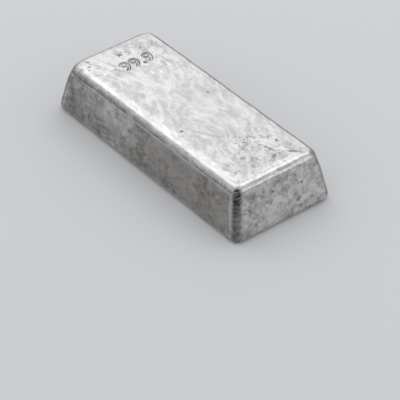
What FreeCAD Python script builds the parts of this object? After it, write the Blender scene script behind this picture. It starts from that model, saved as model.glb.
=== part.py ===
import FreeCAD, Part
import math
import os

# One cast metal ingot, lying on its wide face with the narrow face up.
# The wide face is on z = 0, centred on x = 0 and y = 0, and the length runs along X.
# All sizes are in millimetres and all angles in degrees.

# The wide face, measured to the sharp corners that the roundings later take off.
base_length = 200.0
base_width = 83.5

# From the wide face to the narrow one.
height = 38.8

# How far the four walls lean in from upright, which lets the casting leave its mould.
end_draft = 12.2
side_draft = 9.6

# Roundings: the four upright corners, the edge round the narrow face, the edge round the wide face.
corner_radius = 7.0
shoulder_radius = 6.2
base_radius = 4.0


def tapered_block(length, width, rise, end_angle, side_angle):
    """A block with flat leaning walls, wide face down on z = 0 and centred on the Z axis."""
    narrow_length = length - 2 * rise * math.tan(math.radians(end_angle))
    narrow_width = width - 2 * rise * math.tan(math.radians(side_angle))
    # The wedge narrows along its own Y, so it is built that way and then stood up.
    wide_low = (-length / 2, 0, -width / 2)
    narrow_low = (-narrow_width / 2, -narrow_length / 2)
    wide_high = (length / 2, rise, width / 2)
    narrow_high = (narrow_width / 2, narrow_length / 2)
    block = Part.makeWedge(*wide_low, *narrow_low, *wide_high, *narrow_high)
    block.rotate(FreeCAD.Vector(0, 0, 0), FreeCAD.Vector(1, 0, 0), 90)
    return block


def upright_edges(shape):
    """The edges that join the wide face to the narrow one."""
    return [edge for edge in shape.Edges if edge.BoundBox.ZLength > height / 2]


def level_edges(shape, z):
    """The edges that lie wholly at one height."""
    return [edge for edge in shape.Edges if all(abs(end.Z - z) < 0.01 for end in edge.Vertexes)]


ingot = tapered_block(base_length, base_width, height, end_draft, side_draft)
ingot = ingot.makeFillet(corner_radius, upright_edges(ingot))
ingot = ingot.makeFillet(shoulder_radius, level_edges(ingot, height))
ingot = ingot.makeFillet(base_radius, level_edges(ingot, 0))
ingot = ingot.Solids[0]

os.makedirs("parts", exist_ok=True)
ingot.exportStep("parts/ingot.step")

print("ingot valid", ingot.isValid(), "volume mm3", round(ingot.Volume, 1))
for face in ingot.Faces:
    centre = face.CenterOfMass
    size = face.BoundBox
    if size.ZLength < 0.01:
        print("level face at z", round(centre.z, 2), "spans", round(size.XLength, 2), round(size.YLength, 2))
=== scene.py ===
import bmesh
import bpy
import math
import random
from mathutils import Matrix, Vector, kdtree, noise
from mathutils.bvhtree import BVHTree


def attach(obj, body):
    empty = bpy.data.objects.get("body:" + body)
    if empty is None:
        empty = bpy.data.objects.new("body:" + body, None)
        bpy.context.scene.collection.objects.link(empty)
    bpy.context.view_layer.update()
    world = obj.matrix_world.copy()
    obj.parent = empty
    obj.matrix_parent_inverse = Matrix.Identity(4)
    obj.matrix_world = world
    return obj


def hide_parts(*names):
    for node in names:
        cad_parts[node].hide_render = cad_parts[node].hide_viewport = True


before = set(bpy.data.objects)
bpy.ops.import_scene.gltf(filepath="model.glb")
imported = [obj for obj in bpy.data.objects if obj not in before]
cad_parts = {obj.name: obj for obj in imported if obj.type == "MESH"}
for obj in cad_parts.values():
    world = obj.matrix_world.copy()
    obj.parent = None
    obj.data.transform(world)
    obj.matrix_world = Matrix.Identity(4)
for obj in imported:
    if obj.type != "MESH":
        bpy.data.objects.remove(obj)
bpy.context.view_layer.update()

print("frame loaded:", sorted(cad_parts))

# the casting's own sizes in metres, the same as the solid's
ingotShape = {
    "baseLength": 0.2000, "baseWidth": 0.0835, "height": 0.0388,
    "endDraft": 12.2, "sideDraft": 9.6,
    "cornerRadius": 0.0070, "shoulderRadius": 0.0062, "baseRadius": 0.0040,
    # degrees between the normals of the faces that meet
    "cornerTurn": 88, "shoulderTurn": 79, "baseTurn": 101,
    "cornerSegments": 9, "shoulderSegments": 9, "baseSegments": 6,
    "seamDrop": 0.0046,      # below the top face, where the shoulder ends
    "gridStep": 0.00090,
    "seed": 11,
}


def bevelEdges(bm, edges, offset, segments):
    bmesh.ops.bevel(bm, geom=edges, offset=offset, offset_type="OFFSET", affect="EDGES",
                    segments=segments, profile=0.5, material=-1)


def tangentLength(radius, degreesBetweenNormals):
    return radius * math.tan(math.radians(degreesBetweenNormals) / 2)


def roundEdges(bm, edges, shape, which):
    reach = tangentLength(shape[which + "Radius"], shape[which + "Turn"])
    bevelEdges(bm, edges, reach, shape[which + "Segments"])


def cutAcross(bm, point, normal):
    bmesh.ops.bisect_plane(bm, geom=bm.verts[:] + bm.edges[:] + bm.faces[:], dist=1e-7,
                           plane_co=point, plane_no=normal)


def buildCasting(shape):
    length, width, height = shape["baseLength"], shape["baseWidth"], shape["height"]
    topLength = length - 2 * height * math.tan(math.radians(shape["endDraft"]))
    topWidth = width - 2 * height * math.tan(math.radians(shape["sideDraft"]))
    bm = bmesh.new()
    bmesh.ops.create_cube(bm, size=1)
    bmesh.ops.scale(bm, vec=(length, width, height), verts=bm.verts)
    bmesh.ops.translate(bm, vec=(0, 0, height / 2), verts=bm.verts)
    topVerts = [v for v in bm.verts if v.co.z > height / 2]
    bmesh.ops.scale(bm, vec=(topLength / length, topWidth / width, 1), verts=topVerts)

    upright = [e for e in bm.edges if abs(e.verts[0].co.z - e.verts[1].co.z) > height / 2]
    roundEdges(bm, upright, shape, "corner")
    topLoop = [e for e in bm.edges if all(v.co.z > height - 1e-6 for v in e.verts)]
    roundEdges(bm, topLoop, shape, "shoulder")
    baseLoop = [e for e in bm.edges if all(v.co.z < 1e-6 for v in e.verts)]
    roundEdges(bm, baseLoop, shape, "base")

    # cuts fan out with the leaning walls, so they stay clear of the rounded corners
    step, corner = shape["gridStep"], shape["cornerRadius"]
    for size, topSize, axis in ((length, topLength, 0), (width, topWidth, 1)):
        reach = 1 - corner / (topSize / 2)
        count = round(reach * size / step)
        for i in range(count + 1):
            share = reach * (2 * i / count - 1)
            point, normal = Vector(), Vector((0, 0, share * (size - topSize) / (2 * height)))
            point[axis] = share * size / 2
            normal[axis] = 1
            cutAcross(bm, point, normal)
    low, high = shape["baseRadius"] * 1.3, height - shape["shoulderRadius"] * 0.9
    count = round((high - low) / step)
    for i in range(count + 1):
        cutAcross(bm, Vector((0, 0, low + (high - low) * i / count)), Vector((0, 0, 1)))
    for i in range(-3, 4):
        cutAcross(bm, Vector((0, 0, height - shape["seamDrop"] + i * 0.00028)), Vector((0, 0, 1)))
    bmesh.ops.remove_doubles(bm, verts=bm.verts, dist=2e-5)
    bmesh.ops.recalc_face_normals(bm, faces=bm.faces)
    bm.normal_update()
    return bm


def cloud(p, size, seed):
    return noise.fractal(p / size + Vector((seed, seed * 0.37, -seed)), 0.9, 2.1, 4)


def ramp(value, low, high):
    t = min(max((value - low) / (high - low), 0.0), 1.0)
    return t * t * (3 - 2 * t)


def topSizes(shape):
    rise = shape["height"]
    return (shape["baseLength"] / 2 - rise * math.tan(math.radians(shape["endDraft"])),
            shape["baseWidth"] / 2 - rise * math.tan(math.radians(shape["sideDraft"])))


def halfLengthAt(p, shape):
    return shape["baseLength"] / 2 - p.z * math.tan(math.radians(shape["endDraft"]))


def zones(p, shape):
    # shares from 0 to 1: worn top face, shoulder, upright corner
    height = shape["height"]
    halfWidth = shape["baseWidth"] / 2 - p.z * math.tan(math.radians(shape["sideDraft"]))
    fromEnd, fromSide = halfLengthAt(p, shape) - abs(p.x), halfWidth - abs(p.y)
    drop = height - p.z
    onTop = 1 - ramp(drop, 0.0010, 0.0032)
    shoulder = ramp(0.0085 - min(fromEnd, fromSide), 0, 0.004) * (1 - ramp(drop, 0.0045, 0.0080))
    corner = 1 - ramp(max(fromEnd, fromSide), 0.0034, 0.0058)
    corner *= 1.0 if p.x > 0 > p.y else 0.40       # painted dark reflection in full on the near corner, soot at 0.40 on the other three
    return onTop, shoulder, corner, min(fromEnd, fromSide)


surfaceShape = {
    "seam": 0.00030,         # shallow line where the shoulder ends
    "edgeRoll": 0.00042,     # how far the top face dips where it meets the shoulder
    "edgeRollWidth": 0.0050,
    "swell": 0.00020,        # long slow unevenness of the cast faces
    "skin": 0.00006,         # short unevenness
    "shoulderWear": 0.00012, # uneven rounding of the shoulder
    "cornerWear": 0.0013,    # upper corners rounded further, one of them most
    "cornerWearReach": 0.0090,
}


def shapeSurface(bm, shape, relief):
    height = shape["height"]
    topHalfLength, topHalfWidth = topSizes(shape)
    newLayer = bm.verts.layers.float.new
    wearAndHighlight, cornerSootAndShade, sideShade, rugged = (newLayer(name) for name in ("wearAndHighlight", "corner", "sideShade", "rugged"))
    edgeBand, rounding, edgeShadeAndStains = (newLayer(name) for name in ("edgeBand", "rounding", "edgeShadeAndStains"))
    for v in bm.verts:
        p, n = v.co.copy(), v.normal
        drop = height - p.z
        onTop, shoulder, corner, inside = zones(p, shape)
        edge = min(topHalfLength - abs(p.x), topHalfWidth - abs(p.y))
        start = shape["shoulderRadius"] * 0.845 + relief["edgeRollWidth"]
        roll = min(max((start - edge) / relief["edgeRollWidth"], 0.0), 1.0) ** 2 if n.z > 0.05 else 1.0
        roll *= 0.40 + 0.60 * ramp(p.x, -0.060, 0.020)     # flatter towards the stamped end
        roll *= 1 - ramp(drop, 0.006, 0.016)
        sink = 0.00018 + relief["edgeRoll"] * roll
        sink += relief["swell"] * cloud(p, 0.050, 3)
        sink += relief["skin"] * cloud(p, 0.0075, 8)
        sink += relief["shoulderWear"] * shoulder * cloud(p, 0.018, 21)
        apex = Vector((math.copysign(topHalfLength, p.x), math.copysign(topHalfWidth, p.y), height))
        worn = 1.0 if p.x < 0 and p.y < 0 else 0.0 if p.x > 0 > p.y else 0.5
        sink += relief["cornerWear"] * worn * math.exp(-((p - apex).length / relief["cornerWearReach"]) ** 2)
        seamWidth = 0.00065 + 0.00040 * ramp(-p.x, -0.020, 0.050)     # broader towards the stamped end
        seamGap = (drop - shape["seamDrop"]) / seamWidth + 0.8 * cloud(p, 0.018, 41)
        seamShare = (1 - corner) * ramp(cloud(p, 0.022, 51), -0.9, 0.1) * ramp(abs(n.y), 0.2, 0.6)
        seamShare *= math.exp(-seamGap ** 2)
        sink += relief["seam"] * seamShare
        if n.z < -0.7:
            sink = 0.00025 + 0.0002 * cloud(p, 0.030, 5) * ramp(inside, 0.004, 0.02)
        v.co = p - n * max(sink, 0.0)
        besideCorner = math.exp(-((halfLengthAt(p, shape) - abs(p.x) - 0.0066) / 0.0009) ** 2) * abs(n.y)
        # top and shoulder rubbed lighter; the band along the bottom edge and the strip beside each upright
        # corner are painted highlight lines
        v[wearAndHighlight] = max(onTop, 0.75 * shoulder, 0.55 * (1 - ramp(p.z, 0.0030, 0.0048)), 0.7 * besideCorner)
        farEdge = ramp(drop, 0.0, 0.0006) * (1 - ramp(drop, 0.0018, 0.0030))
        farEdge *= shoulder * max(0.70 * (n.y > 0.03), 0.42 * (n.x < -0.05))
        nearEdge = ramp(drop, 0.0004, 0.0012) * (1 - ramp(drop, 0.0018, 0.0028)) * shoulder * (n.x > 0.25)
        nearEdge *= 0.30 + 0.22 * cloud(p, 0.012, 71)
        aboveSeam = math.exp(-((drop - shape["seamDrop"] + 0.0014) / 0.0012) ** 2) * shoulder * (n.y < -0.2)
        aboveSeam *= (0.34 + 0.36 * cloud(p, 0.006, 81)) * ramp(-p.x, -0.050, 0.030) * (1 - corner)
        stain = ramp(cloud(Vector((p.x, p.y, p.z * 0.5)), 0.0055, 91), 0.10, 0.55) * (n.y < -0.3)
        stain *= 0.62 * ramp(-p.x, 0.064, 0.082) * ramp(p.z, 0.004, 0.010)
        underRim = ramp(cloud(p, 0.0075, 95), -0.15, 0.50) * ramp(p.z, 0.022, 0.031) * (n.x > 0.5) * 0.34
        underRim *= ramp(drop, 0.0036, 0.0050)
        # painted dark reflection lines at the seam and along the far and near edges; darker bands above the
        # seam, stains, and patches below the rim
        v[edgeShadeAndStains] = max(seamShare, farEdge, nearEdge, aboveSeam, stain, underRim, 0.0)
        v[rounding] = shoulder
        v[edgeBand] = shoulder * ramp(drop, 0.0008, 0.0022)
        # painted dark reflection down the near upright corner, blackest towards the top; soot on the other
        # corners
        v[cornerSootAndShade] = corner * ramp(drop, 0.0008, 0.0024) * (0.72 + 0.28 * ramp(p.z, 0.012, 0.032))
        # painted darker, browner reflection in cloudy patches on the long sides, lighter towards the stamped
        # end
        v[sideShade] = ramp(abs(n.y), 0.45, 0.85) * ramp(cloud(p, 0.060, 31), -0.75, 0.15)
        v[sideShade] *= 0.62 + 0.38 * ramp(p.x, -0.070, 0.010)
        v[rugged] = 0.12 + 0.88 * ramp(abs(p.x + 0.002) + 0.018 * cloud(p, 0.025, 61), 0.040, 0.066)


pitting = {
    # x, y in millimetres from the middle of the top face, radius, depth
    "marks": [(-77.0, -1.5, 2.4, 0.70), (-78.5, -27.0, 1.4, 0.5), (-75.6, -28.6, 1.0, 0.4),
              (19.2, -22.8, 1.3, 0.50),
              (-4.5, 18.5, 1.3, 0.45), (-15.7, -25.3, 1.0, 0.30), (65.5, 20.4, 1.7, 0.55)],
    # x, y, half length, half width, turn in degrees, depth
    "dents": [(9.3, -10.2, 4.6, 2.0, 40, 0.22), (-22.5, -15.0, 7.0, 5.0, 10, 0.20),
              (-8.0, 6.0, 10.0, 4.0, -30, 0.12)],
    "rubs": [(-48.0, 17.5, 5.5, 0.75, 3, 0.20), (-43.5, 8.0, 6.0, 0.8, 4, 0.22),
             (-47.0, 3.0, 4.5, 0.75, -6, 0.18),
             (-60.0, -22.0, 9.0, 1.2, 28, 0.22), (20.0, 9.5, 10.0, 0.8, 5, 0.12)],
    "creases": [(81.0, 21.0, 6.0, 1.2, 48, 0.36), (70.5, 11.0, 6.0, 1.1, 14, 0.36),
                (77.5, 8.0, 4.5, 1.3, -62, 0.36)],
    "smears": [(-72.0, 25.0, 9.0, 2.2, 8, 0.10), (-61.0, 26.0, 7.0, 1.6, -10, 0.10),
               (-55.0, 20.0, 6.0, 1.4, 5, 0.08), (-83.0, 13.0, 5.0, 1.4, 60, 0.10),
               (-70.0, -13.0, 8.0, 1.3, 24, 0.10), (-54.0, -9.0, 7.0, 1.2, 12, 0.08),
               (-86.0, 2.0, 4.0, 1.3, 80, 0.10)],
    "scatter": {"count": 70, "radius": (0.5, 1.3), "depth": (0.08, 0.30)},
    # x, y, reach, how many
    "clusters": [(51, 0, 8, 40), (58, 6, 8, 16), (76, 14, 12, 16), (78, -8, 13, 20),
                 (-76, 22, 12, 10), (-76, -20, 10, 8)],
}

stampShape = {
    "text": "99.9", "size": 0.0148, "depth": 0.00080, "wall": 0.00040, "rim": 0.00018,
    "center": (-0.0624, 0.0028), "squeeze": 1.06,
}


def scatterPits(shape, pits):
    # every pit: place on the surface, radius, depth, all in metres
    pick = random.Random(shape["seed"])
    height = shape["height"]
    found = [(Vector((x / 1000, y / 1000, height)), r / 1000, d / 1000) for x, y, r, d in pits["marks"]]
    topHalfLength, topHalfWidth = topSizes(shape)
    lean = (math.tan(math.radians(shape["endDraft"])), math.tan(math.radians(shape["sideDraft"])))
    for x, y, reach, count in pits["clusters"]:
        for i in range(count):
            place = Vector((x + pick.gauss(0, reach / 2), y + pick.gauss(0, reach / 2), 0)) / 1000
            place.z = height
            if abs(place.x) < topHalfLength - 0.006 and abs(place.y) < topHalfWidth - 0.010:
                found.append((place, pick.uniform(0.60, 1.25) / 1000, pick.uniform(0.10, 0.30) / 1000))
    for i in range(pits["scatter"]["count"]):
        radius = pick.uniform(*pits["scatter"]["radius"]) / 1000
        depth = pick.uniform(*pits["scatter"]["depth"]) / 1000
        z = pick.uniform(0.006, height - 0.007)
        sign = pick.choice((-1, 1))
        if pick.random() < 0.45:
            place = Vector((pick.uniform(-0.085, 0.085), sign * (shape["baseWidth"] / 2 - lean[1] * z), z))
        else:
            place = Vector((sign * (shape["baseLength"] / 2 - lean[0] * z), pick.uniform(-0.028, 0.028), z))
        found.append((place, radius, depth))
    return found


def refineAround(bm, spots, cuts):
    # smaller squares where small marks go
    tree = kdtree.KDTree(len(bm.faces))
    bm.faces.ensure_lookup_table()
    for face in bm.faces:
        tree.insert(face.calc_center_median(), face.index)
    tree.balance()
    chosen = set()
    for place, reach in spots:
        chosen.update(index for _, index, _ in tree.find_range(place, reach))
    bm.edges.index_update()
    edges = {edge for index in chosen for edge in bm.faces[index].edges}
    ordered = sorted(edges, key=lambda edge: edge.index)     # so that each run cuts in the same order
    bmesh.ops.subdivide_edges(bm, edges=ordered, cuts=cuts, use_grid_fill=True)
    bm.normal_update()


def sinkPits(bm, pits, hollow):
    tree = kdtree.KDTree(len(bm.verts))
    bm.verts.ensure_lookup_table()
    for v in bm.verts:
        tree.insert(v.co, v.index)
    tree.balance()
    moves = {}
    for number, (place, radius, depth) in enumerate(pits):
        for co, index, far in tree.find_range(place, radius * 1.7):
            away = co - place
            angle = math.atan2(away.y + away.z, away.x + away.z * 0.5)
            around = Vector((math.cos(angle), math.sin(angle), number * 3.1))
            edge = radius * (1 + 0.70 * noise.noise(around * 1.6))
            share = far / edge
            bowl = (1 - ramp(share, 0.35, 1.0)) * depth
            rim = 0.10 * depth * math.exp(-((share - 1.15) / 0.18) ** 2)
            moves[index] = max(moves.get(index, -1), bowl - rim)
            dark = min(0.85, 0.28 + depth * 1400) * (1 - ramp(share, 0.25, 1.05))
            bm.verts[index][hollow] = max(bm.verts[index][hollow], dark)
    for index, amount in moves.items():
        v = bm.verts[index]
        v.co = v.co - v.normal * amount


def sinkDents(bm, pits, height, hollow):
    dents = [(dent, 0.0) for dent in pits["dents"] + pits["rubs"]] + [(dent, 0.85) for dent in pits["creases"]]
    dents += [(dent, 0.36) for dent in pits["smears"]]
    for v in bm.verts:
        if v.co.z < height - 0.001:
            continue
        for (x, y, halfLength, halfWidth, turn, depth), dark in dents:
            dx, dy = v.co.x * 1000 - x, v.co.y * 1000 - y
            if abs(dx) + abs(dy) > 3 * halfLength:
                continue
            c, q = math.cos(math.radians(turn)), math.sin(math.radians(turn))
            along, across = (dx * c + dy * q) / halfLength, (dy * c - dx * q) / halfWidth
            across += 0.7 * noise.noise(v.co * 140)      # never quite straight
            share = math.exp(-(along ** 2 + across ** 2) * 1.4)
            v.co.z -= depth / 1000 * share
            v[hollow] = max(v[hollow], dark * share)


def stampOutline(stamp):
    # the digits as flat faces, turned to read from the side edge, with points along their outline
    curve = bpy.data.curves.new("stamp", "FONT")
    curve.body = stamp["text"]
    curve.size = stamp["size"]
    curve.offset = 0.00012
    curve.align_x, curve.align_y = "CENTER", "CENTER"
    maker = bpy.data.objects.new("stamp", curve)
    bm = bmesh.new()
    bm.from_mesh(bpy.data.meshes.new_from_object(maker))
    bpy.data.objects.remove(maker)
    bmesh.ops.remove_doubles(bm, verts=bm.verts, dist=1e-6)
    bmesh.ops.triangulate(bm, faces=bm.faces)
    for v in bm.verts:
        v.co = Vector((stamp["center"][0] - v.co.y, stamp["center"][1] + v.co.x * stamp["squeeze"], 0))
    outline = []
    for edge in bm.edges:
        if len(edge.link_faces) == 1:
            first, last = (v.co for v in edge.verts)
            steps = max(1, round((last - first).length / 0.0001))
            outline += [first.lerp(last, i / steps) for i in range(steps)]
    return BVHTree.FromBMesh(bm), outline


def pressStamp(bm, stamp, height, hollow):
    glyphs, outline = stampOutline(stamp)
    tree = kdtree.KDTree(len(outline))
    for i, point in enumerate(outline):
        tree.insert(point, i)
    tree.balance()
    x0, y0 = stamp["center"]
    for v in bm.verts:
        if v.co.z < height - 0.0015 or abs(v.co.x - x0) > 0.009 or abs(v.co.y - y0) > 0.020:
            continue
        flat = Vector((v.co.x, v.co.y, 0))
        far = tree.find(flat)[2]
        inside = glyphs.ray_cast(flat + Vector((0, 0, 0.01)), Vector((0, 0, -1)))[0] is not None
        signed = far if inside else -far
        fade = 0.75 + 0.35 * noise.noise(flat * 160)     # struck by hand, so not even
        v.co.z -= stamp["depth"] * fade * ramp(signed, -stamp["wall"] * 0.5, stamp["wall"] * 0.5)
        v.co.z += stamp["rim"] * fade * math.exp(-((signed + 0.0006) / 0.00035) ** 2)
        v[hollow] = max(v[hollow], fade * (1 - ramp(abs(signed), 0.00025, 0.0007)), 0.25 * (signed > 0))


casting = buildCasting(ingotShape)
print("casting grid:", len(casting.verts), "vertices", len(casting.faces), "faces")
pits = scatterPits(ingotShape, pitting)
stampX, stampY = stampShape["center"]
stampSpots = [(Vector((stampX, stampY + i * 0.004, ingotShape["height"])), 0.0085) for i in range(-3, 4)]
rubSpots = []
refineAround(casting, [(place, radius * 1.5) for place, radius, depth in pits], 1)
for x, y, halfLength, halfWidth, turn, depth in pitting["rubs"] + pitting["creases"]:
    along = Vector((math.cos(math.radians(turn)), math.sin(math.radians(turn)), 0)) / 1000
    middle = Vector((x / 1000, y / 1000, ingotShape["height"]))
    rubSpots += [(middle + along * halfLength * i / 3, 0.0021) for i in range(-4, 5)]
refineAround(casting, stampSpots + rubSpots, 2)
hollow = casting.verts.layers.float.new("hollow")
shapeSurface(casting, ingotShape, surfaceShape)
casting.normal_update()
sinkDents(casting, pitting, ingotShape["height"], hollow)
sinkPits(casting, pits, hollow)
pressStamp(casting, stampShape, ingotShape["height"], hollow)
for v in casting.verts:
    v.co.z = min(v.co.z, ingotShape["height"] - 0.00002)     # no rim stands above the solid's top
print("marks made:", len(pits), "pits,", len(casting.faces), "faces")

mesh = bpy.data.meshes.new("cast_ingot")
for face in casting.faces:
    face.smooth = True
casting.to_mesh(mesh)
casting.free()
ingot = bpy.data.objects.new("cast_ingot", mesh)
bpy.context.scene.collection.objects.link(ingot)
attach(ingot, "root")
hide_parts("ingot")
print("ingot built:", sum(len(p.vertices) - 2 for p in mesh.polygons), "triangles")

nickelLook = {
    "oxideAndShade": (0.125, 0.120, 0.114, 1),
    "sootAndShade": (0.024, 0.023, 0.022, 1),
    "wall": (0.300, 0.294, 0.286, 1),
    "wallLight": (0.690, 0.678, 0.664, 1),
    "sideShadeDark": (0.190, 0.174, 0.158, 1),
    "sideShadeLight": (0.375, 0.351, 0.325, 1),
    "sideShadeCool": (0.285, 0.276, 0.263, 1),
    "top": (0.530, 0.530, 0.527, 1),
    "topLight": (0.755, 0.755, 0.752, 1),
    "topDull": (0.430, 0.428, 0.420, 1),
    "streakAlong": (0.85, -0.35, 0.40),
}


def castNickel(look):
    mat = bpy.data.materials.new("cast_nickel")
    mat.use_nodes = True
    nodes, links = mat.node_tree.nodes, mat.node_tree.links
    bsdf = nodes["Principled BSDF"]
    bsdf.inputs["Metallic"].default_value = 1.0

    def add(kind, **settings):
        node = nodes.new(kind)
        for key, value in settings.items():
            setattr(node, key, value)
        return node

    def noiseAt(vector, scale, detail, roughness, lacunarity=2.0, distortion=0.0):
        node = add("ShaderNodeTexNoise")
        links.new(vector, node.inputs["Vector"])
        node.inputs["Scale"].default_value = scale
        node.inputs["Detail"].default_value = detail
        node.inputs["Roughness"].default_value = roughness
        node.inputs["Lacunarity"].default_value = lacunarity
        node.inputs["Distortion"].default_value = distortion
        return node.outputs["Fac"]

    def math2(operation, a, b, clamp=False):
        node = add("ShaderNodeMath", operation=operation, use_clamp=clamp)
        for socket, value in zip(node.inputs, (a, b)):
            if isinstance(value, (int, float)):
                socket.default_value = value
            else:
                links.new(value, socket)
        return node.outputs[0]

    def spread(value, low, high, outLow=0.0, outHigh=1.0):
        node = add("ShaderNodeMapRange")
        links.new(value, node.inputs["Value"])
        for name, number in (("From Min", low), ("From Max", high), ("To Min", outLow), ("To Max", outHigh)):
            node.inputs[name].default_value = number
        return node.outputs[0]

    def blend(factor, a, b):
        node = add("ShaderNodeMix", data_type="RGBA")
        for socket, value in ((node.inputs[0], factor), (node.inputs[6], a), (node.inputs[7], b)):
            if isinstance(value, (tuple, int, float)):
                socket.default_value = value
            else:
                links.new(value, socket)
        return node.outputs[2]

    def stretched(along, lengths):
        node = add("ShaderNodeMapping", vector_type="TEXTURE")
        links.new(coords, node.inputs["Vector"])
        node.inputs["Rotation"].default_value = Vector(along).to_track_quat("X", "Z").to_euler()
        node.inputs["Scale"].default_value = lengths
        return node.outputs["Vector"]

    def painted(name):
        return add("ShaderNodeAttribute", attribute_name=name).outputs["Fac"]

    coords = add("ShaderNodeTexCoord").outputs["Object"]
    wearAndHighlight, corner, hollow, sideShade = (painted(name) for name in ("wearAndHighlight", "corner", "hollow", "sideShade"))
    rugged, edgeBand = painted("rugged"), painted("edgeBand")
    rounding, edgeShadeAndStains = painted("rounding"), painted("edgeShadeAndStains")

    clouds = noiseAt(coords, 34, 3, 0.55)
    blotch = noiseAt(coords, 105, 3, 0.50, distortion=1.4)
    mottle = noiseAt(coords, 250, 3, 0.55, distortion=0.8)
    grain = noiseAt(coords, 800, 2, 0.6)
    falling = noiseAt(stretched((0.90, -0.40, 0.30), (5, 1, 1)), 240, 2, 0.45, distortion=0.9)
    rising = noiseAt(stretched((0.93, 0.30, 0.20), (5, 1, 1)), 220, 2, 0.45, distortion=0.9)
    turning = spread(noiseAt(coords, 26, 1, 0.5), 0.47, 0.55)
    swirl = math2("ADD", math2("MULTIPLY", falling, math2("SUBTRACT", 1.0, turning)),
                  math2("MULTIPLY", rising, turning))
    flow = noiseAt(stretched((0.93, 0.10, 0.20), (4, 1, 1)), 150, 1, 0.4, distortion=1.0)
    streaks = noiseAt(stretched(look["streakAlong"], (8, 1, 1)), 330, 1, 0.5, distortion=0.5)
    crossStreaks = noiseAt(stretched((0.86, 0.42, 0.3), (12, 1, 1)), 560, 1, 0.5)
    laps = noiseAt(stretched((0.55, 0.55, 0.35), (7, 7, 1)), 1250, 1, 0.5, distortion=0.4)
    veins = math2("MULTIPLY", spread(math2("ABSOLUTE", math2("SUBTRACT", flow, 0.5), 0), 0.045, 0.0),
                  spread(clouds, 0.44, 0.54))

    def mixed(*parts):
        total = math2("MULTIPLY", *parts[0])
        for part in parts[1:]:
            total = math2("ADD", total, math2("MULTIPLY", *part))
        return total

    # walls: grey cast skin with darker oxide specks, a painted darker, browner reflection in patches on the
    # long sides, and further on a painted dark reflection down the upright corners
    wallTone = mixed((clouds, 0.30), (blotch, 0.20), (mottle, 0.22), (streaks, 0.18), (grain, 0.10))
    wallColor = blend(spread(wallTone, 0.43, 0.58), look["wall"], look["wallLight"])
    sideShadeColor = blend(spread(wallTone, 0.44, 0.57), look["sideShadeDark"], look["sideShadeLight"])
    sideShadeColor = blend(spread(clouds, 0.50, 0.60, 0.0, 0.6), sideShadeColor, look["sideShadeCool"])
    wallColor = blend(math2("MULTIPLY", sideShade, 0.85), wallColor, sideShadeColor)
    specks = math2("MULTIPLY", spread(mottle, 0.41, 0.33), spread(blotch, 0.50, 0.40))
    fineSpecks = math2("MULTIPLY", spread(mixed((mottle, 0.55), (grain, 0.45)), 0.44, 0.37),
                       spread(blotch, 0.52, 0.42))
    wallSpecks = math2("MULTIPLY", fineSpecks, spread(sideShade, 0, 1, 0.60, 0.40), clamp=True)
    wallColor = blend(wallSpecks, wallColor, look["oxideAndShade"])

    # top: rubbed bright, with cloudy grey and fine rubbing lines
    topTone = mixed((clouds, 0.24), (blotch, 0.18), (swirl, 0.44), (streaks, 0.14))
    topColor = blend(spread(topTone, 0.41, 0.58), look["top"], look["topLight"])
    topColor = blend(math2("MULTIPLY", veins, 0.5), topColor, look["topLight"])
    roughEnds = math2("MULTIPLY", rugged, spread(mixed((blotch, 0.55), (mottle, 0.45)), 0.51, 0.42))
    roughEnds = math2("MULTIPLY", roughEnds, spread(rounding, 0, 1, 0.65, 0.05), clamp=True)
    topColor = blend(roughEnds, topColor, look["topDull"])
    ruggedTop = math2("MULTIPLY", rugged, spread(rounding, 0, 1, 0.7, 0.1))
    topSpecks = math2("MULTIPLY", specks, ruggedTop, clamp=True)
    topColor = blend(topSpecks, topColor, look["oxideAndShade"])
    # top colour on the rubbed top and shoulder, and as painted highlight lines along the bottom edge and
    # beside the corners
    color = blend(wearAndHighlight, wallColor, topColor)
    grit = mixed((grain, 0.6), (mottle, 0.4))
    edgeSpeckle = math2("MULTIPLY", edgeBand, spread(grit, 0.52, 0.44))
    color = blend(math2("MULTIPLY", edgeSpeckle, 0.80, clamp=True), color, look["topDull"])
    # painted dark reflection down the near upright corner, with soot at 0.40 on the other corners
    color = blend(math2("MULTIPLY", corner, spread(laps, 0.42, 0.62, 1.0, 0.60)), color, look["sootAndShade"])
    # painted dark reflection lines at the seam and the far and near edges, with the darker bands and stains
    color = blend(math2("MULTIPLY", edgeShadeAndStains, spread(grit, 0.42, 0.58, 1.0, 0.66)), color, look["oxideAndShade"])
    color = blend(math2("MULTIPLY", hollow, 0.88), color, look["oxideAndShade"])
    links.new(color, bsdf.inputs["Base Color"])

    unevenness = spread(mixed((blotch, 0.6), (streaks, 0.4)), 0.38, 0.62, -0.06, 0.08)
    roughness = math2("ADD", spread(wearAndHighlight, 0, 1, 0.36, 0.25), unevenness)
    roughness = math2("ADD", roughness, math2("MULTIPLY", hollow, 0.25))
    roughness = math2("SUBTRACT", roughness, math2("MULTIPLY", edgeBand, 0.08))
    links.new(roughness, bsdf.inputs["Roughness"])

    relief = mixed((blotch, 0.50), (swirl, 0.50), (mottle, 0.18),
                   (streaks, 0.18), (crossStreaks, 0.06), (grain, 0.02))
    relief = math2("ADD", relief, math2("MULTIPLY", veins, 0.08))
    relief = math2("MULTIPLY", relief, spread(rounding, 0, 1, 1.0, 0.6))
    relief = math2("ADD", relief, math2("MULTIPLY", math2("MULTIPLY", laps, corner), 0.6))
    relief = math2("ADD", relief, math2("MULTIPLY", math2("MULTIPLY", grain, edgeBand), 0.20))
    bump = add("ShaderNodeBump")
    bump.inputs["Strength"].default_value = 1.0
    bump.inputs["Distance"].default_value = 0.00030
    links.new(relief, bump.inputs["Height"])
    links.new(bump.outputs["Normal"], bsdf.inputs["Normal"])
    return mat


mesh.materials.append(castNickel(nickelLook))

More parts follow.
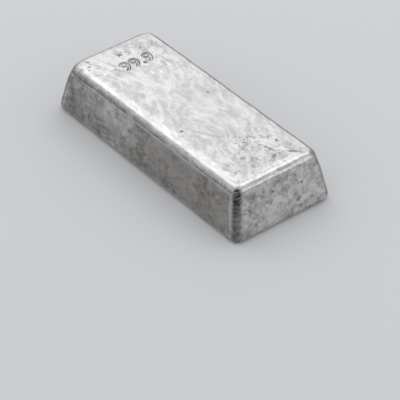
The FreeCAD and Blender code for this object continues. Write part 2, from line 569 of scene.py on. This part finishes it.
# stage: floor, lights, camera
stageSetup = {
    "floorSize": 8.0, "floorColor": (0.698, 0.711, 0.724, 1),
    # name, direction, distance, size, radiance
    "softboxes": [
        ("key_softbox", (-0.52, 0.02, 0.82), 1.5, (1.0, 1.1), 0.80),
        ("back_softbox", (-0.62, 0.56, 0.55), 1.7, (1.2, 0.8), 0.36),
        ("upper_softbox", (-0.13, 0.50, 0.85), 1.6, (0.72, 0.62), 1.00),
        ("right_softbox", (0.72, 0.49, 0.50), 1.4, (0.9, 0.8), 0.42),
    ],
    # heights are shares of straight up
    "horizonHeight": 0.10, "horizonColor": (0.45, 0.455, 0.465, 1),
    "skyHeight": 0.34, "skyColor": (0.78, 0.78, 0.79, 1),
    # the dark end of the room: its middle, its blend by closeness to that, its tone
    "darkSide": (0.50, -0.40, 0.77), "darkSideBlend": (0.91, 0.985), "darkSideColor": (0.10, 0.10, 0.10, 1),
}


def addFloor(setup):
    bm = bmesh.new()
    bmesh.ops.create_grid(bm, x_segments=1, y_segments=1, size=setup["floorSize"] / 2)
    mesh = bpy.data.meshes.new("studio_floor")
    bm.to_mesh(mesh)
    bm.free()
    floor = bpy.data.objects.new("studio_floor", mesh)
    bpy.context.scene.collection.objects.link(floor)
    mat = bpy.data.materials.new("studio_floor")
    mat.use_nodes = True
    bsdf = mat.node_tree.nodes["Principled BSDF"]
    bsdf.inputs["Base Color"].default_value = setup["floorColor"]
    bsdf.inputs["Roughness"].default_value = 0.9
    bsdf.inputs["Specular IOR Level"].default_value = 0.0
    mesh.materials.append(mat)


def addSoftbox(name, direction, distance, size, radiance):
    lamp = bpy.data.lights.new(name, "AREA")
    lamp.shape = "RECTANGLE"
    lamp.size, lamp.size_y = size
    lamp.energy = radiance * math.pi * size[0] * size[1]
    obj = bpy.data.objects.new(name, lamp)
    aim = Vector(direction).normalized()
    obj.location = aim * distance
    obj.rotation_euler = aim.to_track_quat("Z", "Y").to_euler()
    bpy.context.scene.collection.objects.link(obj)


addFloor(stageSetup)
for softbox in stageSetup["softboxes"]:
    addSoftbox(*softbox)


def addWorld(setup):
    world = bpy.data.worlds.new("studio")
    bpy.context.scene.world = world
    world.use_nodes = True
    nodes, links = world.node_tree.nodes, world.node_tree.links
    background = nodes["Background"]
    direction = nodes.new("ShaderNodeTexCoord").outputs["Generated"]
    split = nodes.new("ShaderNodeSeparateXYZ")
    links.new(direction, split.inputs[0])
    height = nodes.new("ShaderNodeValToRGB")
    for element, level in zip(height.color_ramp.elements, ("horizon", "sky")):
        element.position = setup[level + "Height"]
        element.color = setup[level + "Color"]
    links.new(split.outputs["Z"], height.inputs[0])
    toward = nodes.new("ShaderNodeVectorMath")
    toward.operation = "DOT_PRODUCT"
    links.new(direction, toward.inputs[0])
    toward.inputs[1].default_value = Vector(setup["darkSide"]).normalized()
    shade = nodes.new("ShaderNodeMapRange")
    links.new(toward.outputs["Value"], shade.inputs["Value"])
    shade.inputs["From Min"].default_value, shade.inputs["From Max"].default_value = setup["darkSideBlend"]
    mix = nodes.new("ShaderNodeMix")
    mix.data_type = "RGBA"
    links.new(shade.outputs[0], mix.inputs[0])
    links.new(height.outputs[0], mix.inputs[6])
    mix.inputs[7].default_value = setup["darkSideColor"]
    links.new(mix.outputs[2], background.inputs["Color"])
    background.inputs["Strength"].default_value = 1.0


addWorld(stageSetup)

cameraSetup = {
    "azimuth": 51.41, "elevation": 38.47, "distance": 1.4435,
    "target": (0.0460, -0.0286, 0.0), "lens": 196.0,
}


def addCamera(setup):
    azimuth, elevation = math.radians(setup["azimuth"]), math.radians(setup["elevation"])
    back = Vector((math.sin(azimuth) * math.cos(elevation), -math.cos(azimuth) * math.cos(elevation),
                   math.sin(elevation)))
    data = bpy.data.cameras.new("camera")
    data.sensor_width = 36
    data.lens = setup["lens"]
    data.clip_start, data.clip_end = 0.01, 50
    camera = bpy.data.objects.new("camera", data)
    camera.location = Vector(setup["target"]) + back * setup["distance"]
    camera.rotation_euler = back.to_track_quat("Z", "Y").to_euler()
    bpy.context.scene.collection.objects.link(camera)
    bpy.context.scene.camera = camera


addCamera(cameraSetup)
bpy.context.scene.view_settings.view_transform = "Standard"
print("stage ready")
